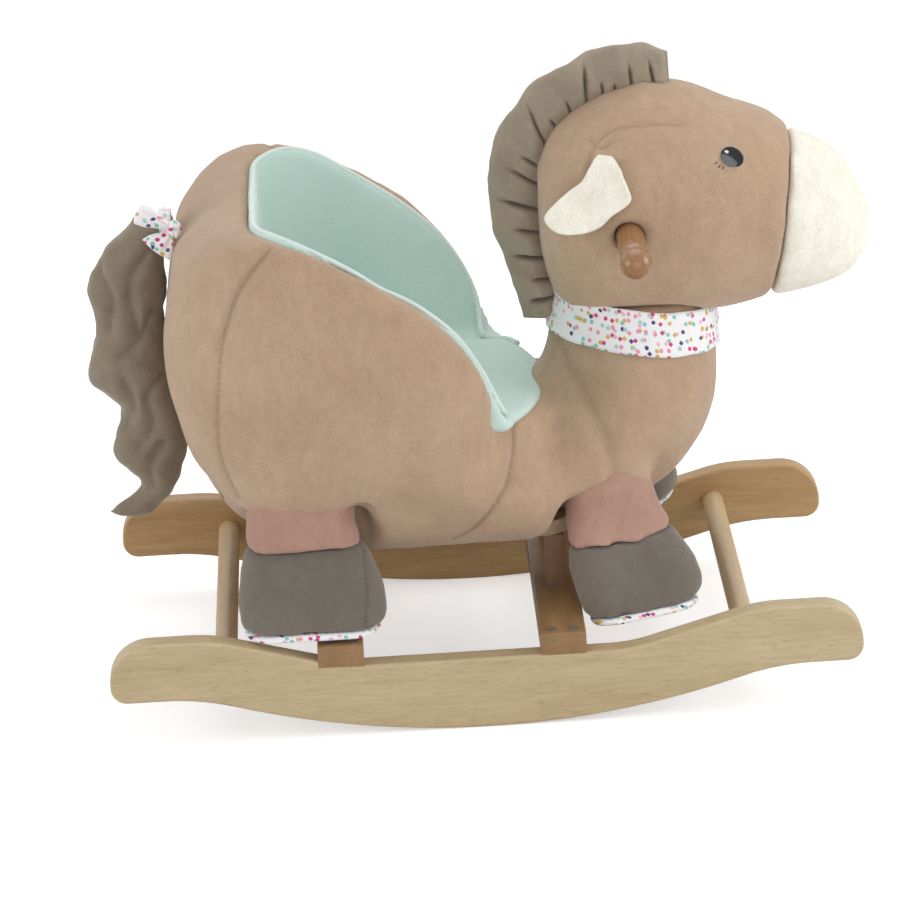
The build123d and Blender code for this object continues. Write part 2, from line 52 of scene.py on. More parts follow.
def newPiece(name, bm):
    mesh = bpy.data.meshes.new(name)
    bm.to_mesh(mesh)
    bm.free()
    piece = bpy.data.objects.new(name, mesh)
    scene.collection.objects.link(piece)
    return piece


def dress(piece, material, body, slot, *replaced):
    piece.data.materials.clear()
    piece.data.materials.append(material)
    for face in piece.data.polygons:
        face.use_smooth = True
        face.material_index = 0
    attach(piece, body)
    if replaced:
        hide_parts(*replaced)
    return piece


def applyModifiers(piece):
    bpy.context.view_layer.update()
    graph = bpy.context.evaluated_depsgraph_get()
    shaped = bpy.data.meshes.new_from_object(piece.evaluated_get(graph))
    piece.modifiers.clear()
    piece.data = shaped
    return piece


def relaxVerts(bm, verts, turns, alongX=True):
    for turn in range(turns):
        bmesh.ops.smooth_vert(bm, verts=verts, factor=0.5, use_axis_x=alongX, use_axis_y=True, use_axis_z=True)


def thicken(piece, thickness):
    thick = piece.modifiers.new("thick", "SOLIDIFY")
    thick.thickness = thickness
    thick.offset = 0


def withNormals(piece):
    # each vertex with its normal, all normals read before a vertex moves
    return zip(piece.data.vertices, [v.normal.copy() for v in piece.data.vertices])


def nodeCopy(name, nodeNames, extra=()):
    bm = bmesh.new()
    for mesh in [nodes[nodeName].data for nodeName in nodeNames] + list(extra):
        bm.from_mesh(mesh)
    bmesh.ops.remove_doubles(bm, verts=bm.verts, dist=weldGap)
    return newPiece(name, bm)


def voxelForm(name, nodeNames, voxel, relax=6, extra=()):
    # one closed skin round solids, with its creases softened
    piece = nodeCopy(name, nodeNames, extra)
    remesh = piece.modifiers.new("skin", "REMESH")
    remesh.mode = "VOXEL"
    remesh.voxel_size = voxel
    applyModifiers(piece)
    bm = bmesh.new()
    bm.from_mesh(piece.data)
    relaxVerts(bm, bm.verts, relax)
    bm.to_mesh(piece.data)
    bm.free()
    return piece


def subdivide(piece, levels=1):
    finer = piece.modifiers.new("finer", "SUBSURF")
    finer.levels = levels
    finer.render_levels = levels
    return applyModifiers(piece)


def clothMap(piece, place, wrap=None):
    # lays the cloth's own pattern on a piece, in metres; wrap is the length after which it meets itself
    layer = piece.data.uv_layers.new(name="cloth")
    for face in piece.data.polygons:
        spots = [list(place(piece.data.vertices[v].co)) for v in face.vertices]
        if wrap and max(p[0] for p in spots) - min(p[0] for p in spots) > wrap / 2:
            spots = [[p[0] + wrap if p[0] < 0 else p[0], p[1]] for p in spots]
        for loop, spot in zip(face.loop_indices, spots):
            layer.data[loop].uv = spot


def smoothStep(low, high, value):
    t = min(1.0, max(0.0, (value - low) / (high - low)))
    return t * t * (3 - 2 * t)


def curvePoints(points, steps=12):
    # a smooth line through given points
    found = []
    ends = [points[0]] + list(points) + [points[-1]]
    for k in range(1, len(ends) - 2):
        p0, p1, p2, p3 = (Vector(p) for p in ends[k - 1:k + 3])
        for step in range(steps):
            t = step / steps
            found.append(0.5 * (2 * p1 + (p2 - p0) * t + (2 * p0 - 5 * p1 + 4 * p2 - p3) * t**2
                                + (3 * p1 - p0 - 3 * p2 + p3) * t**3))
    found.append(Vector(points[-1]))
    return found


def newMaterial(name):
    material = bpy.data.materials.new(name)
    material.use_nodes = True
    tree = material.node_tree
    shader = tree.nodes["Principled BSDF"]
    return material, tree, shader


def addNode(tree, kind, **values):
    node = tree.nodes.new(kind)
    for key, value in values.items():
        if hasattr(node, key):
            setattr(node, key, value)
        else:
            node.inputs[key.replace("_", " ")].default_value = value
    return node


def objectMap(tree, stretch=(1, 1, 1)):
    place = addNode(tree, "ShaderNodeTexCoord")
    mapping = addNode(tree, "ShaderNodeMapping")
    mapping.inputs["Scale"].default_value = stretch
    tree.links.new(place.outputs["Object"], mapping.inputs["Vector"])
    return mapping.outputs["Vector"]


def noiseOf(tree, vector, scale, detail=3.0, rough=0.5):
    grain = addNode(tree, "ShaderNodeTexNoise")
    grain.inputs["Scale"].default_value = scale
    grain.inputs["Detail"].default_value = detail
    grain.inputs["Roughness"].default_value = rough
    tree.links.new(vector, grain.inputs["Vector"])
    return grain.outputs["Fac"]


def ramp(tree, value, stops, interpolation="LINEAR"):
    node = addNode(tree, "ShaderNodeValToRGB")
    node.color_ramp.interpolation = interpolation
    while len(node.color_ramp.elements) < len(stops):
        node.color_ramp.elements.new(0.5)
    for element, (position, colour) in zip(node.color_ramp.elements, stops):
        element.position = position
        element.color = (*colour, 1) if len(colour) == 3 else colour
    tree.links.new(value, node.inputs["Fac"])
    return node.outputs["Color"]


def mixColour(tree, factor, first, second, blend="MIX"):
    node = addNode(tree, "ShaderNodeMix", data_type="RGBA", blend_type=blend)
    for socket, value in ((node.inputs[0], factor), (node.inputs[6], first), (node.inputs[7], second)):
        if isinstance(value, bpy.types.NodeSocket):
            tree.links.new(value, socket)
        elif isinstance(value, (int, float)):
            socket.default_value = value
        else:
            socket.default_value = (*value, 1)
    return node.outputs[2]


def bumpOf(tree, shader, height, strength, distance):
    bump = addNode(tree, "ShaderNodeBump")
    bump.inputs["Strength"].default_value = strength
    bump.inputs["Distance"].default_value = distance
    tree.links.new(height, bump.inputs["Height"])
    before = shader.inputs["Normal"].links
    if before:
        tree.links.new(before[0].from_socket, bump.inputs["Normal"])
    tree.links.new(bump.outputs["Normal"], shader.inputs["Normal"])


def grey(value):
    return (value, value, value)


def plushMaterial(name, colour, shade, sheen=0.35, pile=0.0012):
    # short brushed pile: cloudy nap, fine fibres and a painted shade line along seams and creases, from the seam
    # attribute
    material, tree, shader = newMaterial(name)
    place = objectMap(tree)
    combed = objectMap(tree, (1.0, 1.0, 0.45))
    clouds = noiseOf(tree, place, 16, 4, 0.6)
    nap = noiseOf(tree, combed, 120, 4, 0.65)
    fibres = noiseOf(tree, combed, 700, 3, 0.7)
    base = ramp(tree, clouds, [(0.3, shade), (0.7, colour)])
    napTone = ramp(tree, nap, [(0.3, grey(0.93)), (0.7, grey(1.05))])
    fibreTone = ramp(tree, fibres, [(0.25, grey(0.86)), (0.75, grey(1.12))])
    base = mixColour(tree, 1.0, base, napTone, "MULTIPLY")
    base = mixColour(tree, 0.85, base, fibreTone, "MULTIPLY")
    # painted shade: the seam attribute darkens the colour along seams and creases
    seam = addNode(tree, "ShaderNodeAttribute", attribute_name="seam")
    base = mixColour(tree, seam.outputs["Fac"], base, tuple(0.38 * c for c in shade))
    tree.links.new(base, shader.inputs["Base Color"])
    shader.inputs["Roughness"].default_value = 0.95
    shader.inputs["Specular IOR Level"].default_value = 0.15
    shader.inputs["Sheen Weight"].default_value = sheen
    shader.inputs["Sheen Roughness"].default_value = 0.45
    shader.inputs["Sheen Tint"].default_value = (1.0, 0.95, 0.88, 1)
    bumpOf(tree, shader, nap, 0.25, 0.0015)
    bumpOf(tree, shader, fibres, 0.5, pile)
    return material


def knitMaterial(name, colour, shade):
    # brushed knit: soft clouds under a fine fuzz
    material, tree, shader = newMaterial(name)
    place = objectMap(tree)
    clouds = noiseOf(tree, place, 9, 3, 0.5)
    fuzz = noiseOf(tree, place, 900, 3, 0.6)
    base = ramp(tree, clouds, [(0.3, shade), (0.7, colour)])
    fuzzTone = ramp(tree, fuzz, [(0.3, grey(0.90)), (0.7, grey(1.07))])
    base = mixColour(tree, 0.6, base, fuzzTone, "MULTIPLY")
    # painted shade: the seam attribute darkens the colour along seams
    seam = addNode(tree, "ShaderNodeAttribute", attribute_name="seam")
    base = mixColour(tree, seam.outputs["Fac"], base, tuple(0.55 * c for c in shade))
    tree.links.new(base, shader.inputs["Base Color"])
    shader.inputs["Roughness"].default_value = 0.9
    shader.inputs["Specular IOR Level"].default_value = 0.2
    shader.inputs["Sheen Weight"].default_value = 0.3
    shader.inputs["Sheen Roughness"].default_value = 0.4
    bumpOf(tree, shader, fuzz, 0.3, 0.0006)
    return material


def printMaterial(name):
    # white cotton with scattered dots and lozenges, one layer of each
    material, tree, shader = newMaterial(name)
    cloth = addNode(tree, "ShaderNodeUVMap", uv_map="cloth").outputs["UV"]
    palette = [(0.0, (0.62, 0.05, 0.22)), (0.16, (0.86, 0.30, 0.42)), (0.34, (0.24, 0.58, 0.52)),
               (0.5, (0.06, 0.06, 0.20)),
               (0.62, (0.80, 0.52, 0.60)), (0.76, (0.66, 0.46, 0.10)), (0.88, (0.40, 0.66, 0.62))]
    base = (0.90, 0.89, 0.90)
    for metric, scale, edge, shift in (("EUCLIDEAN", 150, 0.26, 0.0), ("MANHATTAN", 138, 0.30, 3.7)):
        mapping = addNode(tree, "ShaderNodeMapping")
        mapping.inputs["Location"].default_value = (shift, shift, 0)
        tree.links.new(cloth, mapping.inputs["Vector"])
        cells = addNode(tree, "ShaderNodeTexVoronoi", voronoi_dimensions="2D", distance=metric)
        cells.inputs["Scale"].default_value = scale
        cells.inputs["Randomness"].default_value = 0.75
        tree.links.new(mapping.outputs["Vector"], cells.inputs["Vector"])
        inside = ramp(tree, cells.outputs["Distance"], [(edge - 0.03, grey(1)), (edge + 0.03, grey(0))])
        splitter = addNode(tree, "ShaderNodeSeparateColor")
        tree.links.new(cells.outputs["Color"], splitter.inputs["Color"])
        tint = ramp(tree, splitter.outputs["Red"], palette, "CONSTANT")
        kept = ramp(tree, splitter.outputs["Green"], [(0.0, grey(0)), (0.38, grey(1))], "CONSTANT")
        mask = mixColour(tree, 1.0, inside, kept, "MULTIPLY")
        base = mixColour(tree, mask, base, tint)
    tree.links.new(base, shader.inputs["Base Color"])
    threads = noiseOf(tree, cloth, 1800, 2, 0.5)
    bumpOf(tree, shader, threads, 0.3, 0.0004)
    shader.inputs["Roughness"].default_value = 0.85
    shader.inputs["Sheen Weight"].default_value = 0.15
    return material


def woodMaterial(name, light, dark, along, rough=0.45, coat=0.15):
    # straight grained beech: long growth bands, short dark flecks, fine pores
    material, tree, shader = newMaterial(name)
    stretch = [5.0, 5.0, 5.0]
    stretch[along] = 0.5
    fleckStretch = [1.0, 1.0, 1.0]
    fleckStretch[along] = 0.12
    grain = objectMap(tree, tuple(stretch))
    bands = noiseOf(tree, grain, 9, 5, 0.6)
    fine = noiseOf(tree, grain, 60, 4, 0.6)
    flecks = noiseOf(tree, objectMap(tree, tuple(fleckStretch)), 900, 2, 0.5)
    base = ramp(tree, bands, [(0.28, dark), (0.62, light)])
    fineTone = ramp(tree, fine, [(0.35, grey(0.86)), (0.65, grey(1.05))])
    base = mixColour(tree, 0.8, base, fineTone, "MULTIPLY")
    fleckTone = ramp(tree, flecks, [(0.30, grey(0.72)), (0.42, grey(1.0))])
    base = mixColour(tree, 0.7, base, fleckTone, "MULTIPLY")
    tree.links.new(base, shader.inputs["Base Color"])
    roughness = ramp(tree, fine, [(0.2, grey(rough - 0.08)), (0.8, grey(rough + 0.1))])
    tree.links.new(roughness, shader.inputs["Roughness"])
    shader.inputs["Coat Weight"].default_value = coat
    shader.inputs["Coat Roughness"].default_value = 0.25
    bumpOf(tree, shader, flecks, 0.15, 0.0003)
    bumpOf(tree, shader, fine, 0.12, 0.0004)
    return material


def metalMaterial(name):
    material, tree, shader = newMaterial(name)
    wear = noiseOf(tree, objectMap(tree), 400, 3, 0.6)
    tree.links.new(ramp(tree, wear, [(0.3, grey(0.42)), (0.7, grey(0.62))]), shader.inputs["Base Color"])
    tree.links.new(ramp(tree, wear, [(0.2, grey(0.28)), (0.8, grey(0.48))]), shader.inputs["Roughness"])
    shader.inputs["Metallic"].default_value = 1.0
    return material


def threadMaterial(name, colour):
    material, tree, shader = newMaterial(name)
    twist = noiseOf(tree, objectMap(tree, (1, 1, 3)), 2500, 2, 0.5)
    base = mixColour(tree, 1.0, colour, ramp(tree, twist, [(0.3, grey(0.8)), (0.7, grey(1.1))]), "MULTIPLY")
    tree.links.new(base, shader.inputs["Base Color"])
    shader.inputs["Roughness"].default_value = 0.6
    shader.inputs["Sheen Weight"].default_value = 0.2
    return material


def eyeMaterial(name):
    material, tree, shader = newMaterial(name)
    depth = noiseOf(tree, objectMap(tree), 200, 2, 0.5)
    base = ramp(tree, depth, [(0.3, (0.004, 0.005, 0.006)), (0.7, (0.012, 0.014, 0.016))])
    tree.links.new(base, shader.inputs["Base Color"])
    shader.inputs["Roughness"].default_value = 0.08
    shader.inputs["Specular IOR Level"].default_value = 0.3
    shader.inputs["Coat Weight"].default_value = 0.2
    shader.inputs["Coat Roughness"].default_value = 0.03
    return material


# colour and shade of each plush and knit
tones = {
    "brown": ((0.525, 0.375, 0.255), (0.46, 0.315, 0.21)),
    "grey": ((0.39, 0.325, 0.25), (0.32, 0.26, 0.195)),
    "tail": ((0.29, 0.235, 0.17), (0.225, 0.18, 0.128)),
    "hoof": ((0.205, 0.18, 0.15), (0.16, 0.138, 0.115)),
    "pink": ((0.50, 0.31, 0.24), (0.435, 0.255, 0.195)),
    "cream": ((0.92, 0.89, 0.775), (0.89, 0.86, 0.74)),
    "mint": ((0.64, 0.80, 0.75), (0.59, 0.76, 0.70)),
}
brownPlush = plushMaterial("brownPlush", *tones["brown"])
greyPlush = plushMaterial("greyPlush", *tones["grey"])
tailPlush = plushMaterial("tailPlush", *tones["tail"], sheen=0.5)
hoofPlush = plushMaterial("hoofPlush", *tones["hoof"], sheen=0.5)
pinkPlush = plushMaterial("pinkPlush", *tones["pink"])
creamPlush = plushMaterial("creamPlush", *tones["cream"], sheen=0.2, pile=0.0006)
mintKnit = knitMaterial("mintKnit", *tones["mint"])
pipingKnit = knitMaterial("pipingKnit", (0.74, 0.84, 0.80), (0.66, 0.78, 0.73))
printedCotton = printMaterial("printedCotton")
beechBoard = woodMaterial("beechBoard", (0.58, 0.46, 0.275), (0.49, 0.365, 0.20), 0)
# the far rocker: the same beech as the near one, coloured darker and warmer as painted shade for the shade it stands
# in under the horse
paintedShadeBoard = woodMaterial("paintedShadeBoard", (0.50, 0.32, 0.145), (0.40, 0.225, 0.085), 0)
# the slats: the same beech, coloured darker as painted shade for the shade they lie in under the body
paintedShadeSlat = woodMaterial("paintedShadeSlat", (0.33, 0.19, 0.08), (0.24, 0.125, 0.045), 1)
beechDowel = woodMaterial("beechDowel", (0.62, 0.47, 0.28), (0.52, 0.36, 0.19), 1)
darkBlock = woodMaterial("darkBlock", (0.20, 0.10, 0.05), (0.13, 0.06, 0.03), 2)
varnishedPeg = woodMaterial("varnishedPeg", (0.33, 0.15, 0.05), (0.24, 0.095, 0.025), 1, 0.25, 0.5)
plywood = woodMaterial("plywood", (0.52, 0.38, 0.23), (0.42, 0.29, 0.16), 0, 0.6, 0.0)
zincSteel = metalMaterial("zincSteel")
blackEye = eyeMaterial("blackEye")
paleThread = threadMaterial("paleThread", (0.52, 0.40, 0.30))
# white thread for the eyes' painted highlight
glintWhiteThread = threadMaterial("glintWhiteThread", (0.86, 0.86, 0.85))
darkThread = threadMaterial("darkThread", (0.05, 0.045, 0.04))
print("materials made")

nodeFinish = {
    "right_rocker": beechBoard, "left_rocker": paintedShadeBoard,
    "front_slat": paintedShadeSlat, "rear_slat": paintedShadeSlat,
    "front_dowel": beechDowel, "rear_dowel": beechDowel,
    "riser_blocks": darkBlock, "neck_post": darkBlock, "handle_bar": darkBlock,
    "base_board": plywood, "back_board": plywood,
    "slat_screws": zincSteel, "riser_bolts": zincSteel, "post_screws": zincSteel,
    "right_grip": varnishedPeg, "left_grip": varnishedPeg,
    "right_eye": blackEye, "left_eye": blackEye,
}
for nodeName, material in nodeFinish.items():
    nodes[nodeName].data.materials.clear()
    nodes[nodeName].data.materials.append(material)

body = {
    "voxel": 0.005, "relax": 10, "rumple": (0.055, 0.0012),
    # the seams get painted shade at the default darkness, the neck fold at the third number of its press
    "seamPress": (0.0024, 0.0040),  # depth and width of a furrow
    "foldPress": (0.0022, 0.009, 0.25),  # the same, and how dark it is
    # seams as (x, z) seen from the side, in metres
    "sideSeam": [(-0.150, 0.405), (-0.164, 0.390), (-0.178, 0.371), (-0.187, 0.349), (-0.194, 0.326), (-0.200, 0.284),
                 (-0.202, 0.243), (-0.198, 0.216), (-0.190, 0.190)],
    "rumpSeam": [(-0.214, 0.428), (-0.209, 0.418), (-0.203, 0.412), (-0.190, 0.409), (-0.172, 0.408)],
    "wingSeam": [(0.028, 0.244), (0.032, 0.227), (0.031, 0.210), (0.026, 0.193), (0.018, 0.181), (0.007, 0.165),
                 (-0.004, 0.150), (-0.020, 0.137)],
    "neckFold": [(0.072, 0.275), (0.083, 0.255), (0.096, 0.233), (0.106, 0.209), (0.111, 0.189), (0.1136, 0.170)],
    "bed": 0.005,  # how far the stuffing lies under the pad
    # where a leg's root is sewn in: how its filling widens along x and y, its lowest height,
    # and the room round the cuff in which the skin is relaxed
    "rootSpread": (1.16, 1.03),
    "rootEnd": {"rear": 0.173, "front": 0.160},
    "rootRoom": ((0.024, 0.006, 0.0), (0.024, 0.006, 0.018)), "rootTurns": 24,
}


def sideHit(tree, x, z, side):
    return tree.ray_cast(Vector((x, -farOff * side, z)), Vector((0, side, 0)))[0]


def raySeam(tree, points, side):
    # drops a line of (x, z) points onto a surface from one side
    hits = [sideHit(tree, p.x, p.y, side) for p in curvePoints([(*q, 0) for q in points], 10)]
    return [hit for hit in hits if hit]


def treeOf(piece):
    bm = bmesh.new()
    bm.from_mesh(piece.data)
    tree = BVHTree.FromBMesh(bm)
    bm.free()
    return tree


# the seam attribute holds painted shade along seams and creases
def paintedShadeLayer(piece):
    return piece.data.attributes.get("seam") or piece.data.attributes.new("seam", "FLOAT", "POINT")


def pressSeams(piece, lines, depth, width, dark=0.55):
    spots = [p for line in lines for p in line]
    if not spots:
        return
    finder = KDTree(len(spots))
    for k, p in enumerate(spots):
        finder.insert(p, k)
    finder.balance()
    layer = paintedShadeLayer(piece)
    for vertex, normal in withNormals(piece):
        reach = finder.find(vertex.co)[2]  # the furrow fades within four widths, its dark line within one
        if reach < 4 * width:
            vertex.co -= normal * depth * math.exp(-(reach / width) ** 2)
            # paints shade along the furrow into the seam attribute
            paintedShade = layer.data[vertex.index]
            paintedShade.value = max(paintedShade.value, dark * math.exp(-(reach / (0.45 * width)) ** 2))


def rumple(piece, size, depth, seed=0.0, stretch=(1, 1, 1)):
    # soft hand-stuffed unevenness
    for vertex, normal in withNormals(piece):
        spot = Vector([c * s / size for c, s in zip(vertex.co, stretch)]) + Vector((seed, 0, 0))
        vertex.co += normal * depth * (noise.noise(spot) + 0.5 * noise.noise(spot * 2.1))


def rootFilling(leg, lowest):
    # the stuffing that meets a leg's root, so that the leg is sewn into a closed body
    bm = bmesh.new()
    bm.from_mesh(nodes[leg + "_cuff"].data)
    bmesh.ops.remove_doubles(bm, verts=bm.verts, dist=weldGap)
    bmesh.ops.bisect_plane(bm, geom=bm.verts[:] + bm.edges[:] + bm.faces[:], plane_co=(0, 0, lowest),
                           plane_no=(0, 0, 1), clear_inner=True)
    bmesh.ops.holes_fill(bm, edges=[e for e in bm.edges if e.is_boundary], sides=0)
    low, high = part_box(leg + "_cuff")
    middle = (low + high) / 2
    spreadX, spreadY = body["rootSpread"]
    for vertex in bm.verts:
        vertex.co.x = middle.x + (vertex.co.x - middle.x) * spreadX
        vertex.co.y = middle.y + (vertex.co.y - middle.y) * spreadY
    mesh = bpy.data.meshes.new(leg + "Filling")
    bm.to_mesh(mesh)
    bm.free()
    return mesh


bodyNodes = ["torso", "neck", "backrest", "right_wing", "left_wing"]
fillings = []
for side in ("right", "left"):
    for end in ("rear", "front"):
        fillings.append(rootFilling(side + "_" + end + "_leg", body["rootEnd"][end]))
padBed = nodes["seat_pad"].data.copy()  # stuffing just under the pad
padBed.transform(Matrix.Translation((0, 0, -body["bed"])))
fillings.append(padBed)
plushBody = voxelForm("plushBody", bodyNodes, body["voxel"], body["relax"], fillings)
bm = bmesh.new()
bm.from_mesh(plushBody.data)
for side in ("right", "left"):
    for end in ("rear", "front"):
        low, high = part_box(side + "_" + end + "_leg_cuff")
        low, high = low - Vector(body["rootRoom"][0]), high + Vector(body["rootRoom"][1])
        inside = [v for v in bm.verts if all(low[i] < v.co[i] < high[i] for i in range(3))]
        relaxVerts(bm, inside, body["rootTurns"])
bm.to_mesh(plushBody.data)
bm.free()
subdivide(plushBody)
rumple(plushBody, *body["rumple"])
bodyTree = treeOf(plushBody)
seamLines = []
for side in (1, -1):
    seamLines += [raySeam(bodyTree, body[seam], side) for seam in ("sideSeam", "rumpSeam", "wingSeam")]
foldLines = [raySeam(bodyTree, body["neckFold"], side) for side in (1, -1)]
pressSeams(plushBody, seamLines, *body["seamPress"])
pressSeams(plushBody, foldLines, *body["foldPress"])
print("body shaped")

# The lining and the pad are one soft knitted tub, a little proud of the plush under it.
seat = {
    "voxel": 0.003, "relax": 10, "stand": 0.0016, "rumple": (0.08, 0.0016, 4.0),
    # the nose is drawn in below these heights, from these lengths on
    "tuckHeight": (0.220, 0.234), "tuckStart": (-0.010, 0.018), "tuck": 0.012, "narrow": 0.10,
    # the piping lies where level rays from the middle first meet the tub, searched from the top down
    "middle": (-0.070, 0.0), "reach": 2.58, "rays": 150, "top": 0.425, "step": 0.0015, "steps": 130, "rayLength": 0.3,
    "pipe": 0.0023, "pipeOut": 0.0022, "pipeUp": 0.0004, "evenTurns": 6,
}
seatLining = voxelForm("seatLining", ["seat_lining", "seat_pad"], seat["voxel"], seat["relax"])
rumple(seatLining, *seat["rumple"])
for vertex, normal in withNormals(seatLining):
    vertex.co += normal * seat["stand"]
    tucked = (1 - smoothStep(*seat["tuckHeight"], vertex.co.z)) * smoothStep(*seat["tuckStart"], vertex.co.x)
    vertex.co.x -= seat["tuck"] * tucked
    vertex.co.y *= 1 - seat["narrow"] * tucked
seatTree = treeOf(seatLining)
dress(plushBody, brownPlush, "rocker_and_body", "brown_plush", "torso", "neck", "backrest", "right_wing", "left_wing")
dress(seatLining, mintKnit, "rocker_and_body", "mint_knit", "seat_lining", "seat_pad")


def tube(name, points, radius, sides=10, closed=False, weld=0.00001):
    # a round cord of cloth or thread along a line
    curve = bpy.data.curves.new(name, "CURVE")
    curve.dimensions = "3D"
    curve.bevel_depth = radius
    curve.bevel_resolution = sides // 2
    curve.use_fill_caps = True
    line = curve.splines.new("POLY")
    line.points.add(len(points) - 1)
    for spot, p in zip(line.points, points):
        spot.co = (*p, 1)
    line.use_cyclic_u = closed
    piece = bpy.data.objects.new(name, curve)
    scene.collection.objects.link(piece)
    bpy.context.view_layer.update()
    mesh = bpy.data.meshes.new_from_object(piece.evaluated_get(bpy.context.evaluated_depsgraph_get()))
    bpy.data.objects.remove(piece)
    bm = bmesh.new()
    bm.from_mesh(mesh)
    bmesh.ops.remove_doubles(bm, verts=bm.verts, dist=weld)
    bmesh.ops.recalc_face_normals(bm, faces=bm.faces)
    return newPiece(name, bm)


rimLine = []
for k in range(seat["rays"] + 1):
    turn = math.pi - seat["reach"] + 2 * seat["reach"] * k / seat["rays"]
    way = Vector((math.cos(turn), math.sin(turn), 0))
    for step in range(seat["steps"]):
        start = Vector((*seat["middle"], seat["top"] - seat["step"] * step))
        hit = seatTree.ray_cast(start, way, seat["rayLength"])[0]
        if hit:
            rimLine.append(hit + way * seat["pipeOut"] + Vector((0, 0, seat["pipeUp"])))
            break
for turn in range(seat["evenTurns"]):
    between = [(a + 2 * b + c) / 4 for a, b, c in zip(rimLine, rimLine[1:], rimLine[2:])]
    rimLine = [rimLine[0]] + between + [rimLine[-1]]
rimPiping = tube("rimPiping", rimLine, seat["pipe"])
dress(rimPiping, pipingKnit, "rocker_and_body", "mint_knit")
print("seat made")

head = {
    "voxel": 0.004, "relax": 8, "rumple": (0.05, 0.0010, 2.0), "muzzleRumple": (0.06, 0.0010, 7.0),
    # depth and width of a furrow, and how dark its painted shade is
    "seamPress": (0.0011, 0.0026, 0.35),
    "gusset": [(0.100, 0.425), (0.105, 0.440), (0.114, 0.450), (0.126, 0.456), (0.142, 0.458), (0.160, 0.458),
               (0.178, 0.456)],
    "brow": (0.150, 0.262, 0.445), "browTurns": 260,  # where the top of the brow is evened out, in x, x and z
    "earDart": [(0.104, 0.447), (0.112, 0.443), (0.120, 0.447)],
    "eyeRing": (0.0103, 0.0070, -28), "eyeThread": 0.0006, "eyePoints": 40,  # half axes and tilt in degrees
    "eyeMiddle": (0.215, 0.430),
    "glint": (0.2105, 0.4345), "glintSize": 0.0017, "glintShape": (1.15, 0.35, 0.85), "glintOut": 0.074,
    "lashThread": 0.00045, "lashLift": 0.0004,
    "lashes": [((0.2052, 0.4262), (0.2034, 0.4243)), ((0.2075, 0.4247), (0.2068, 0.4225)), ((0.2030, 0.4283),
               (0.2008, 0.4277))],
}
headForm = subdivide(voxelForm("headForm", ["head"], head["voxel"], head["relax"]))
bm = bmesh.new()
bm.from_mesh(headForm.data)
brow = [v for v in bm.verts if head["brow"][0] < v.co.x < head["brow"][1] and v.co.z > head["brow"][2]]
relaxVerts(bm, brow, head["browTurns"], alongX=False)
bm.to_mesh(headForm.data)
bm.free()
rumple(headForm, *head["rumple"])
headTree = treeOf(headForm)
headLines = [raySeam(headTree, head[seam], side) for seam in ("gusset", "earDart") for side in (1, -1)]
pressSeams(headForm, headLines, *head["seamPress"])
dress(headForm, brownPlush, "rocker_and_body", "brown_plush", "head")
muzzle = subdivide(voxelForm("muzzleForm", ["muzzle"], head["voxel"], head["relax"]))
rumple(muzzle, *head["muzzleRumple"])
dress(muzzle, creamPlush, "rocker_and_body", "cream_plush", "muzzle")
print("head made")


def turned(a, b, degrees):
    t = math.radians(degrees)
    return a * math.cos(t) - b * math.sin(t), a * math.sin(t) + b * math.cos(t)


for side, sign in (("right", 1), ("left", -1)):
    ring = []
    for k in range(head["eyePoints"]):
        t = 2 * math.pi * k / head["eyePoints"]
        dx, dz = turned(head["eyeRing"][0] * math.cos(t), head["eyeRing"][1] * math.sin(t), head["eyeRing"][2])
        ring.append(sideHit(headTree, head["eyeMiddle"][0] + dx, head["eyeMiddle"][1] + dz, sign))
    eyeRing = tube(side + "EyeRing", ring, head["eyeThread"], 6, True)
    dress(eyeRing, paleThread, "rocker_and_body", "brown_plush")
    # a white thread dot set where the eye's highlight falls: a painted highlight
    spot = sideHit(treeOf(nodes[side + "_eye"]), *head["glint"], sign)
    bm = bmesh.new()
    bmesh.ops.create_uvsphere(bm, u_segments=16, v_segments=10, radius=head["glintSize"])
    bmesh.ops.scale(bm, vec=head["glintShape"], verts=bm.verts)
    spot = spot or Vector((head["glint"][0], -head["glintOut"] * sign, head["glint"][1]))
    bmesh.ops.translate(bm, vec=spot, verts=bm.verts)
    glint = newPiece(side + "EyeGlint", bm)
    dress(glint, glintWhiteThread, "rocker_and_body", "cream_plush")
    for k, lash in enumerate(head["lashes"]):
        first, last = (sideHit(headTree, x, z, sign) for x, z in lash)
        raised = (first + last) / 2 + Vector((0, -head["lashLift"] * sign, 0))
        stitch = tube(side + "Stitch" + str(k), [first, raised, last], head["lashThread"], 6)
        dress(stitch, darkThread, "rocker_and_body", "black_eye")
print("eyes made")

# Ears: a brown back and a cream lining, cut alike, hung from a tucked root.
ear = {
    "middle": (0.110, -0.075, 0.410),
    "right": (0.9929, -0.1191, 0.0),
    "up": (0.034, 0.2834, 0.9584),
    "out": (-0.1142, -0.9516, 0.2855),
    "heart": (-0.009, -0.003),
    "outline": [(0.002, 0.0355), (0.0106, 0.0294), (0.0166, 0.0199), (0.0180, 0.0150), (0.0215, 0.0065),
                (0.0240, -0.0038),
                (0.0176, -0.0105), (0.008, -0.0165), (-0.0016, -0.0252), (-0.0159, -0.0300), (-0.0301, -0.0300),
                (-0.0402, -0.0251), (-0.0452, -0.0156), (-0.0358, -0.0050), (-0.0246, 0.0044), (-0.0142, 0.0120),
                (-0.0084, 0.0220), (-0.0043, 0.0305)],
    "crease": ((0.012, 0.014), (-0.030, -0.014)), "creaseWidth": 0.0038, "creaseDepth": 0.0032,
    "creaseRise": (-0.012, 0.006), "creaseFall": (0.030, 0.050),
    # the leaf's bowl, and how much it turns at the tip, the front and the root, each over a stretch
    "bowl": 0.004, "tipCurl": 0.005, "tipRange": (0.010, 0.040), "frontCurl": 0.003, "frontRange": (0.0, 0.02),
    "tuck": 0.024, "tuckRange": (0.024, 0.0355),
    "back": (0.0006, 1.0), "lining": (0.0036, 0.985),  # lift, and share of the outline
    "thick": 0.0026, "cells": 28, "rumple": (0.02, 0.0005), "seed": 900,
}


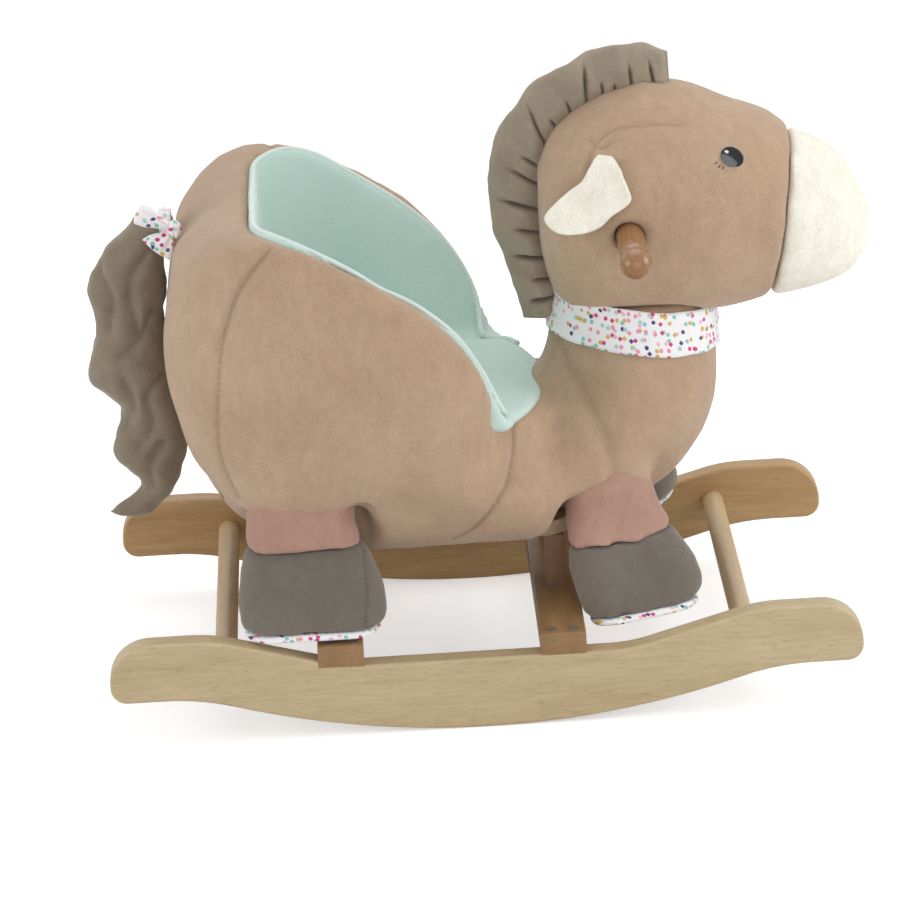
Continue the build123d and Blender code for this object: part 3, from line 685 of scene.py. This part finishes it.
def earLeaf(name, sign, lift, shrink):
    heart = Vector((*ear["heart"], 0))
    loop = curvePoints([(*p, 0) for p in ear["outline"]] + [(*ear["outline"][0], 0)], 8)
    polar = sorted((math.atan2((p - heart).y, (p - heart).x), (p - heart).length) for p in loop)
    polar = [(polar[-1][0] - 2 * math.pi, polar[-1][1])] + polar + [(polar[0][0] + 2 * math.pi, polar[0][1])]

    def reachAt(angle):
        for (a, ra), (b, rb) in zip(polar, polar[1:]):
            if a <= angle <= b:
                return ra + (rb - ra) * (angle - a) / max(1e-9, b - a)
        return polar[0][1]

    creaseStart, creaseEnd = (Vector((*p, 0)) for p in ear["crease"])
    creaseWay = (creaseEnd - creaseStart).normalized()
    middle, right, up, out = (Vector(ear[key]) for key in ("middle", "right", "up", "out"))
    bm = bmesh.new()
    bmesh.ops.create_grid(bm, x_segments=ear["cells"], y_segments=ear["cells"], size=1.0)
    for vertex in bm.verts:
        u, v = vertex.co.x, vertex.co.y
        reach = max(abs(u), abs(v))
        # a square grid drawn out to the round of the leaf
        if reach < 1e-6:
            angle = 0.0
        elif abs(u) >= abs(v):
            angle = math.pi / 4 * (v / u) + (0 if u > 0 else math.pi)
        else:
            angle = math.pi / 2 - math.pi / 4 * (u / v) + (0 if v > 0 else math.pi)
        if angle > math.pi:
            angle -= 2 * math.pi
        flat = heart + Vector((math.cos(angle), math.sin(angle), 0)) * reachAt(angle) * reach * shrink
        along = (flat - creaseStart).dot(creaseWay)
        across = (flat - creaseStart).cross(creaseWay).z
        crease = math.exp(-(across / ear["creaseWidth"]) ** 2) * smoothStep(*ear["creaseRise"], along)
        crease *= 1 - smoothStep(*ear["creaseFall"], along)
        curl = ear["bowl"] * reach**2 + ear["tipCurl"] * smoothStep(*ear["tipRange"], -flat.x)
        curl -= ear["frontCurl"] * smoothStep(*ear["frontRange"], flat.x)
        tuck = ear["tuck"] * smoothStep(*ear["tuckRange"], flat.y)
        depth = lift + curl - ear["creaseDepth"] * crease - tuck
        place = middle + right * flat.x + up * flat.y + out * depth
        vertex.co = Vector((place.x, place.y * sign, place.z))
    bmesh.ops.recalc_face_normals(bm, faces=bm.faces)
    leaf = newPiece(name, bm)
    thicken(leaf, ear["thick"])
    soften = leaf.modifiers.new("soften", "SUBSURF")
    soften.levels = soften.render_levels = 1
    applyModifiers(leaf)
    rumple(leaf, *ear["rumple"], lift * ear["seed"])
    return leaf


for side, sign in (("right", 1), ("left", -1)):
    back = earLeaf(side + "EarBack", sign, *ear["back"])
    dress(back, brownPlush, side + "_ear", "brown_plush", side + "_ear")
    lining = earLeaf(side + "EarLining", sign, *ear["lining"])
    dress(lining, creamPlush, side + "_ear", "cream_plush", side + "_ear_lining")
print("ears made")

# Mane: a stuffed double ruffle with long creases from its root and short ones between, with painted shade in the
# creases.
mane = {
    "root": [(0.172, 0.470), (0.150, 0.469), (0.120, 0.464), (0.094, 0.452), (0.077, 0.435), (0.069, 0.415),
             (0.066, 0.390),
             (0.067, 0.359), (0.070, 0.327), (0.074, 0.302), (0.076, 0.285)],
    "edge": [(0.171, 0.503), (0.143, 0.511), (0.121, 0.509), (0.096, 0.500), (0.071, 0.487), (0.051, 0.470),
             (0.036, 0.448),
             (0.027, 0.423), (0.024, 0.396), (0.026, 0.364), (0.036, 0.332), (0.043, 0.306), (0.047, 0.287)],
    "half": 0.0088, "along": 300, "across": 22,
    "leftShift": 0.018,  # how much further along the creases of the left face are
    # dark is how deep the painted shade in the creases is
    "pinch": 0.86, "dark": 0.75, "sway": 0.0050, "waves": 6.5, "edgeUneven": 0.035,
    # creases as place along the mane, reach outwards, width, slant
    "creases": [(0.045, 0.75, 0.007, 0.01), (0.115, 0.72, 0.007, -0.01), (0.165, 0.35, 0.006, -0.02),
                (0.205, 0.45, 0.006, -0.03),
                (0.262, 0.95, 0.008, -0.05), (0.315, 0.45, 0.006, -0.03), (0.372, 0.35, 0.006, 0.0),
                (0.438, 0.92, 0.008, -0.05),
                (0.505, 0.50, 0.007, 0.02), (0.560, 0.72, 0.008, 0.01), (0.640, 0.90, 0.009, 0.03),
                (0.715, 0.62, 0.008, 0.02),
                (0.795, 0.85, 0.009, 0.03), (0.865, 0.50, 0.007, 0.02), (0.925, 0.80, 0.008, 0.03)],
}


def pointAlong(line, share):
    lengths = [0.0]
    for a, b in zip(line, line[1:]):
        lengths.append(lengths[-1] + (b - a).length)
    goal = share * lengths[-1]
    for k in range(1, len(line)):
        if lengths[k] >= goal:
            t = (goal - lengths[k - 1]) / max(1e-9, lengths[k] - lengths[k - 1])
            return line[k - 1].lerp(line[k], t)
    return line[-1]


def creaseAt(share, reach, shift):
    total = 0.0
    for place, length, width, slant in mane["creases"]:
        offset = share - (place + shift + slant * reach)
        fade = 1 - smoothStep(length * 0.55, length * 1.05, reach)
        total = max(total, math.exp(-abs(offset / (0.62 * width)) ** 1.4) * fade)
    return total


rootLine = curvePoints([(x, 0, z) for x, z in mane["root"]])
edgeLine = curvePoints([(x, 0, z) for x, z in mane["edge"]])
rootAt = [pointAlong(rootLine, k / mane["along"]) for k in range(mane["along"] + 1)]
edgeAt = [pointAlong(edgeLine, k / mane["along"]) for k in range(mane["along"] + 1)]
bm = bmesh.new()
bmesh.ops.create_grid(bm, x_segments=mane["along"], y_segments=mane["across"], size=0.5)
other = bmesh.ops.extrude_face_region(bm, geom=bm.faces[:])["geom"]
bmesh.ops.translate(bm, vec=(0, 0, 1), verts=[v for v in other if isinstance(v, bmesh.types.BMVert)])
creaseShades = {}
bm.verts.ensure_lookup_table()
for vertex in bm.verts:
    share, reach = min(1.0, max(0.0, vertex.co.x + 0.5)), min(1.0, max(0.0, vertex.co.y + 0.5))
    sign = -1 if vertex.co.z < 0.5 else 1
    k = round(share * mane["along"])
    crease = creaseAt(share, reach, 0.0 if sign < 0 else mane["leftShift"])
    ends = smoothStep(0.0, 0.02, share) * (1 - smoothStep(0.98, 1.0, share))
    profile = (0.30 + 0.70 * math.sqrt(max(0.0, 1 - reach**5))) * (0.45 + 0.55 * smoothStep(0, 0.35, reach))
    puff = 0.85 + 0.75 * noise.noise(Vector((share * 15, reach * 1.2, 3.0 * sign)))
    half = mane["half"] * profile * puff * (0.25 + 0.75 * ends) * (1 - mane["pinch"] * crease)
    drift = 1.5 * noise.noise(Vector((share * 5, 0, 1)))
    sway = mane["sway"] * math.sin(2 * math.pi * mane["waves"] * share + drift) * reach
    uneven = 1 + mane["edgeUneven"] * noise.noise(Vector((share * 26, 0.5, 9.0)))
    outward = reach * uneven if reach > 0.5 else reach
    place = rootAt[k].lerp(edgeAt[k], outward)
    vertex.co = Vector((place.x, sway + sign * half, place.z))
    # painted shade in the creases, kept for the seam attribute
    creaseShades[vertex.index] = mane["dark"] * crease
bmesh.ops.recalc_face_normals(bm, faces=bm.faces)
maneRuffle = newPiece("maneRuffle", bm)
layer = paintedShadeLayer(maneRuffle)
for index, paintedShade in creaseShades.items():
    layer.data[index].value = paintedShade
dress(maneRuffle, greyPlush, "rocker_and_body", "grey_plush", "mane")
print("mane made")

tail = {
    # press: depth and width of a crease, and how dark its painted shade is
    "voxel": 0.004, "relax": 5, "rumple": (0.030, 0.0030, 5.0, (1, 0.7, 1.4)), "press": (0.0035, 0.0060, 0.30),
    "creases": [[(-0.246, 0.372), (-0.262, 0.355), (-0.268, 0.330), (-0.262, 0.300)],
                [(-0.292, 0.352), (-0.283, 0.330), (-0.288, 0.305)],
                [(-0.250, 0.318), (-0.262, 0.296), (-0.280, 0.282)],
                [(-0.246, 0.262), (-0.260, 0.246), (-0.258, 0.222), (-0.270, 0.205)],
                [(-0.278, 0.262), (-0.272, 0.240), (-0.280, 0.222)],
                [(-0.250, 0.205), (-0.262, 0.186), (-0.262, 0.166)]],
}
tailForm = subdivide(voxelForm("tailForm", ["tail"], tail["voxel"], tail["relax"]))
rumple(tailForm, *tail["rumple"])
tailTree = treeOf(tailForm)
tailLines = [raySeam(tailTree, line, side) for line in tail["creases"] for side in (1, -1)]
pressSeams(tailForm, tailLines, *tail["press"])
dress(tailForm, tailPlush, "tail", "grey_plush", "tail")

leg = {
    "voxel": 0.004, "relax": 4, "soleVoxel": 0.0025, "soleRelax": 3,
    "cuffRumple": {"rear": (0.030, 0.0018, 3.0), "front": (0.030, 0.0018, 8.0)},
    "hoofRumple": {"rear": (0.035, 0.0018, 6.0), "front": (0.035, 0.0018, 1.0)},
    # toePress: depth and width of the toe furrow, and how dark its painted shade is
    "toe": (0.017, 0.0155, 0.019), "toeEnds": (0.004, 0.003), "toePress": (0.0016, 0.0030, 0.5),
    "gathers": 15, "gatherDepth": 0.0012, "gatherHeight": 0.013, "gatherShare": {"rear": 0.5, "front": 1.0},
}
for side in ("right", "left"):
    sign = 1 if side == "right" else -1
    for end in ("rear", "front"):
        name = side + "_" + end + "_leg"
        cuff = subdivide(voxelForm(side + end.title() + "Cuff", [name + "_cuff"], leg["voxel"], leg["relax"]))
        rumple(cuff, *leg["cuffRumple"][end])
        hoof = subdivide(voxelForm(side + end.title() + "Hoof", [name + "_hoof"], leg["voxel"], leg["relax"]))
        rumple(hoof, *leg["hoofRumple"][end])
        low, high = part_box(name + "_hoof")
        if end == "rear":
            heights = (high.z - leg["toeEnds"][0], (low.z + high.z) / 2, low.z + leg["toeEnds"][1])
            toe = [(high.x - back, height) for back, height in zip(leg["toe"], heights)]
            pressSeams(hoof, [raySeam(treeOf(hoof), toe, sign)], *leg["toePress"])
        middle = (low + high) / 2
        for vertex, normal in withNormals(hoof):
            around = math.atan2((vertex.co.y - middle.y) * 2, vertex.co.x - middle.x)
            near = math.exp(-((vertex.co.z - low.z) / leg["gatherHeight"]) ** 2)
            dip = max(0.0, math.sin(leg["gathers"] * around + 2.0 * noise.noise(Vector((around * 2, 0, 0)))))
            vertex.co -= normal * leg["gatherDepth"] * dip * near * leg["gatherShare"][end]
        dress(cuff, pinkPlush, name, "pink_plush", name + "_cuff")
        dress(hoof, hoofPlush, name, "grey_plush", name + "_hoof")
        sole = subdivide(voxelForm(side + end.title() + "Sole", [name + "_sole"], leg["soleVoxel"], leg["soleRelax"]))
        clothMap(sole, lambda p: (p.x + 0.5 * p.y, p.z + 0.8 * p.y))
        dress(sole, printedCotton, name, "printed_cotton", name + "_sole")
print("legs made")

# Scarf: a band round the neck, its top edge up under the head.
scarf = {
    "middle": (0.137, 0.0), "low": 0.2705, "fall": 0.159, "tall": 0.036, "stand": 0.0026, "thick": 0.0014,
    "segments": 144, "rows": 12, "weld": 0.0002, "relax": 3,
    # level rays run inwards from just clear of the neck, below the head
    "girth": 0.062, "rayTop": 0.300, "rayStart": 0.092, "rayLength": 0.09, "bare": 0.06,
    "wrinkle": 0.0010, "crumple": 0.0008, "wave": 0.0012,
}
bm = bmesh.new()
bmesh.ops.create_grid(bm, x_segments=scarf["segments"], y_segments=scarf["rows"], size=0.5)
bottom = Vector((*scarf["middle"], 0))
for vertex in bm.verts:
    share, rise = vertex.co.x + 0.5, vertex.co.y + 0.5
    turn = 2 * math.pi * share
    way = Vector((math.cos(turn), math.sin(turn), 0))
    guess = bottom + way * scarf["girth"]
    height = scarf["low"] - scarf["fall"] * (guess.x - bottom.x) + scarf["tall"] * rise
    start = Vector((bottom.x, bottom.y, min(height, scarf["rayTop"]))) + way * scarf["rayStart"]
    hit = bodyTree.ray_cast(start, -way, scarf["rayLength"])[0]
    radius = (Vector((hit.x, hit.y, 0)) - bottom).length if hit else scarf["bare"]
    drift = 1.6 * noise.noise(Vector((4 * way.x, 4 * way.y, 0)))
    wrinkle = scarf["wrinkle"] * math.sin(5.0 * math.pi * rise + drift)
    wrinkle += scarf["crumple"] * noise.noise(Vector((30 * guess.x, 30 * guess.y, 60 * height)))
    radius += scarf["stand"] + wrinkle
    wave = scarf["wave"] * noise.noise(Vector((way.x * 2.5, way.y * 2.5, 4.0)))
    vertex.co = bottom + way * radius + Vector((0, 0, height + wave))
bmesh.ops.remove_doubles(bm, verts=bm.verts, dist=scarf["weld"])
relaxVerts(bm, [v for v in bm.verts if not v.is_boundary], scarf["relax"])
bmesh.ops.recalc_face_normals(bm, faces=bm.faces)
clothArea = sum(face.calc_area() for face in bm.faces)
scarfBand = newPiece("scarfBand", bm)
thicken(scarfBand, scarf["thick"])
applyModifiers(scarfBand)
scarfGirth = clothArea / scarf["tall"]


def scarfPlace(p):
    return math.atan2(p.y, p.x - bottom.x) / (2 * math.pi) * scarfGirth, p.z + scarf["fall"] * (p.x - bottom.x)


clothMap(scarfBand, scarfPlace, scarfGirth)
dress(scarfBand, printedCotton, "rocker_and_body", "printed_cotton", "scarf")
print("scarf made")

# Bow: two gathered ends and a knot, tied round the tail's root.
bow = {
    "knot": (-0.2285, -0.0215, 0.3865),
    # each end's tip, half width, thickness and flare
    "lobes": [((-0.2575, -0.024, 0.4025), 0.0085, 0.0040, 0.35), ((-0.2440, -0.024, 0.3685), 0.0125, 0.0036, 0.9)],
    "pleat": 0.0011,
    "knotSize": 0.0062, "knotShape": (0.85, 0.8, 1.15), "knotShift": (0.0005, -0.0012, 0.0), "knotPleat": 0.0006,
    # the band round the tail's root: its middle in x and z, radius, width, stand, folds and cloth
    "ringMiddle": (-0.2360, 0.3820), "ring": 0.0125, "ringWidth": 0.009, "ringStand": 0.0016,
    "ringFold": 0.0008, "ringUneven": 0.0004, "ringThick": 0.0014, "ringCloth": 0.0135,
}
knot = Vector(bow["knot"])
for number, (tip, across, thick, flare) in enumerate(bow["lobes"]):
    tip = Vector(tip)
    lengthways = (tip - knot).normalized()
    sideways = lengthways.cross(Vector((0, -1, 0))).normalized()
    outwards = sideways.cross(lengthways)
    bm = bmesh.new()
    bmesh.ops.create_uvsphere(bm, u_segments=48, v_segments=32, radius=1.0)
    bmesh.ops.rotate(bm, cent=(0, 0, 0), matrix=Matrix.Rotation(math.pi / 2, 3, "Y"), verts=bm.verts)
    for vertex in bm.verts:
        along = (vertex.co.x + 1) / 2
        ringSize = math.sqrt(max(0.0, 1 - vertex.co.x**2))
        spread = across * (0.30 + 0.70 * smoothStep(0.0, 0.75, along) * (1 + flare * (along - 0.6)))
        blunt = min(1.0, ringSize * 1.9)
        y = vertex.co.y / max(ringSize, 1e-6) * blunt if ringSize > 1e-4 else 0.0
        z = vertex.co.z / max(ringSize, 1e-6) * blunt if ringSize > 1e-4 else 0.0
        pleat = bow["pleat"] * math.cos(9 * y) * (1 - 0.7 * along)
        vertex.co = (knot + lengthways * ((tip - knot).length * along) + sideways * (y * spread)
                     + outwards * (z * thick * (0.5 + 0.8 * along * (1.4 - along)) + pleat))
    bmesh.ops.recalc_face_normals(bm, faces=bm.faces)
    lobe = newPiece("bowLobe" + str(number), bm)
    clothMap(lobe, lambda p: (0.8 * p.x + 0.6 * p.z, 0.8 * p.z - 0.6 * p.x + p.y))
    dress(lobe, printedCotton, "tail", "printed_cotton", "tail_bow")
bm = bmesh.new()
bmesh.ops.create_uvsphere(bm, u_segments=32, v_segments=20, radius=bow["knotSize"])
bmesh.ops.scale(bm, vec=bow["knotShape"], verts=bm.verts)
for vertex in bm.verts:
    vertex.co += vertex.co.normalized() * bow["knotPleat"] * math.cos(6 * math.atan2(vertex.co.y, vertex.co.x))
bmesh.ops.translate(bm, vec=knot + Vector(bow["knotShift"]), verts=bm.verts)
bowKnot = newPiece("bowKnot", bm)
clothMap(bowKnot, lambda p: (p.x + p.y, p.z + 0.4 * p.y))
dress(bowKnot, printedCotton, "tail", "printed_cotton", "tail_bow")
ringX, ringZ = bow["ringMiddle"]
bm = bmesh.new()
bmesh.ops.create_cone(bm, cap_ends=False, segments=64, radius1=1, radius2=1, depth=1)
upright = [e for e in bm.edges if abs(e.verts[0].co.z - e.verts[1].co.z) > 0.5]
bmesh.ops.subdivide_edges(bm, edges=upright, cuts=6)
for vertex in bm.verts:
    turn, share = math.atan2(vertex.co.y, vertex.co.x), vertex.co.z
    radius = bow["ring"] + bow["ringStand"] + bow["ringFold"] * math.cos(3 * math.pi * share)
    radius += bow["ringUneven"] * math.sin(7 * turn)
    vertex.co = Vector((ringX + bow["ringWidth"] * share, radius * math.cos(turn), ringZ + radius * math.sin(turn)))
bowBand = newPiece("bowBand", bm)
thicken(bowBand, bow["ringThick"])
applyModifiers(bowBand)
clothMap(bowBand, lambda p: (math.atan2(p.y, p.z - ringZ) * bow["ringCloth"], p.x), 2 * math.pi * bow["ringCloth"])
dress(bowBand, printedCotton, "tail", "printed_cotton", "tail_bow")
print("bow made")

view = {"lens": 175.66, "sensor": 36}
cameraData = bpy.data.cameras.new("camera")
cameraData.lens = view["lens"]
cameraData.sensor_width = view["sensor"]
camera = bpy.data.objects.new("camera", cameraData)
scene.collection.objects.link(camera)
camera.matrix_world = Matrix((
    (0.99806, 0.05994, -0.01700, -0.0790),
    (-0.03727, 0.35581, -0.93382, -3.3580),
    (-0.04993, 0.93264, 0.35735, 1.4609),
    (0, 0, 0, 1),
))
scene.camera = camera

studio = {
    "floorSize": 30, "floorTone": (0.86, 0.86, 0.87, 1), "floorRoughness": 0.9,
    "floorGlow": 0.46,  # added for the camera alone, so that the floor looks white
    "worldLight": 0.55, "lampAim": (0, 0, 0.22),
}
bm = bmesh.new()
bmesh.ops.create_grid(bm, x_segments=1, y_segments=1, size=studio["floorSize"])
floor = newPiece("floor", bm)
floorMaterial, tree, shader = newMaterial("floorWhite")
shader.inputs["Base Color"].default_value = studio["floorTone"]
shader.inputs["Roughness"].default_value = studio["floorRoughness"]
lightPath = addNode(tree, "ShaderNodeLightPath")
glow = addNode(tree, "ShaderNodeEmission")
glow.inputs["Color"].default_value = (1, 1, 1, 1)
seen = addNode(tree, "ShaderNodeMath", operation="MULTIPLY")
seen.inputs[1].default_value = studio["floorGlow"]
tree.links.new(lightPath.outputs["Is Camera Ray"], seen.inputs[0])
tree.links.new(seen.outputs[0], glow.inputs["Strength"])
both = addNode(tree, "ShaderNodeAddShader")
tree.links.new(shader.outputs[0], both.inputs[0])
tree.links.new(glow.outputs[0], both.inputs[1])
tree.links.new(both.outputs[0], tree.nodes["Material Output"].inputs["Surface"])
floor.data.materials.append(floorMaterial)

world = bpy.data.worlds.new("studio")
scene.world = world
world.use_nodes = True
tree = world.node_tree
background = tree.nodes["Background"]
lightPath = addNode(tree, "ShaderNodeLightPath")
white = addNode(tree, "ShaderNodeBackground")
white.inputs["Color"].default_value = (1, 1, 1, 1)
background.inputs["Color"].default_value = (1, 1, 1, 1)
background.inputs["Strength"].default_value = studio["worldLight"]
pick = addNode(tree, "ShaderNodeMixShader")
anyWhite = addNode(tree, "ShaderNodeMath", operation="MAXIMUM")
anyGloss = addNode(tree, "ShaderNodeMath", operation="MAXIMUM")
tree.links.new(lightPath.outputs["Is Glossy Ray"], anyGloss.inputs[0])
tree.links.new(lightPath.outputs["Is Transmission Ray"], anyGloss.inputs[1])
tree.links.new(lightPath.outputs["Is Camera Ray"], anyWhite.inputs[0])
tree.links.new(anyGloss.outputs[0], anyWhite.inputs[1])
tree.links.new(anyWhite.outputs[0], pick.inputs["Fac"])
tree.links.new(background.outputs[0], pick.inputs[1])
tree.links.new(white.outputs[0], pick.inputs[2])
tree.links.new(pick.outputs[0], tree.nodes["World Output"].inputs["Surface"])

# each lamp's place, size in metres and power in watts
lamps = {
    "top": ((0.0, 0.3, 1.6), 1.4, 7),
    "left": ((-1.7, -0.8, 0.7), 1.0, 8),
    "right": ((1.7, -0.5, 0.9), 1.0, 12),
    "front": ((0.3, -2.2, 0.5), 1.6, 8),
}
for name, (place, size, power) in lamps.items():
    lampData = bpy.data.lights.new(name, "AREA")
    lampData.size = size
    lampData.energy = power
    lamp = bpy.data.objects.new(name, lampData)
    scene.collection.objects.link(lamp)
    way = Vector(studio["lampAim"]) - Vector(place)
    lamp.matrix_world = Matrix.Translation(place) @ way.to_track_quat("-Z", "Y").to_matrix().to_4x4()

bpy.context.view_layer.update()
